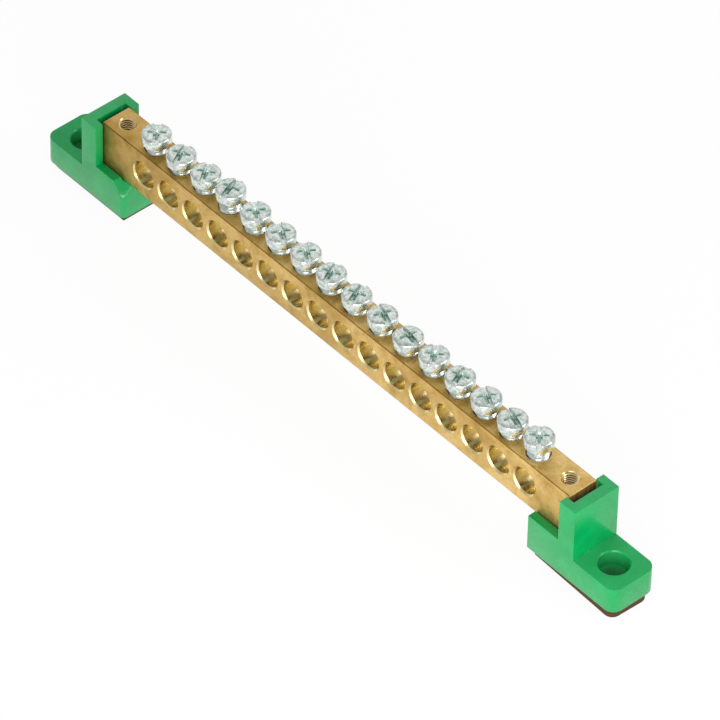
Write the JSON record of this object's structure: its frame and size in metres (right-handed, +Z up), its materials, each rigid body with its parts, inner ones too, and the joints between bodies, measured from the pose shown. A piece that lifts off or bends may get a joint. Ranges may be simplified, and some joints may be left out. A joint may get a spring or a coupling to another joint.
{
  "type": "earth terminal bar",
  "caption": "Straight brass bar cross drilled for wires, with a clamping screw over each hole, on a moulded green holder with a drilled foot at each end.",
  "frame": {"origin": "centre of the footprint, on the surface that the bar is mounted on", "axes": "+X along the bar, +Y across it, +Z up through the terminal screws"},
  "size_m": [0.1448, 0.0098, 0.0222],
  "materials": {
    "brass": "satin",
    "zinc_plated_steel": "bright",
    "green_plastic": "semi-gloss",
    "pressboard": "matte"
  },
  "bodies": {
    "root": {"brass_bar": "brass", "terminal_screw_01": "zinc_plated_steel", "terminal_screw_02": "zinc_plated_steel", "terminal_screw_03": "zinc_plated_steel", "terminal_screw_04": "zinc_plated_steel", "terminal_screw_05": "zinc_plated_steel", "terminal_screw_06": "zinc_plated_steel", "terminal_screw_07": "zinc_plated_steel", "terminal_screw_08": "zinc_plated_steel", "terminal_screw_09": "zinc_plated_steel", "terminal_screw_10": "zinc_plated_steel", "terminal_screw_11": "zinc_plated_steel", "terminal_screw_12": "zinc_plated_steel", "terminal_screw_13": "zinc_plated_steel", "terminal_screw_14": "zinc_plated_steel", "terminal_screw_15": "zinc_plated_steel", "terminal_screw_16": "zinc_plated_steel", "holder_left": "green_plastic", "fixing_screw_left": "zinc_plated_steel", "base_pad_left": "pressboard", "holder_right": "green_plastic", "fixing_screw_right": "zinc_plated_steel", "base_pad_right": "pressboard"}
  },
  "joints": []
}
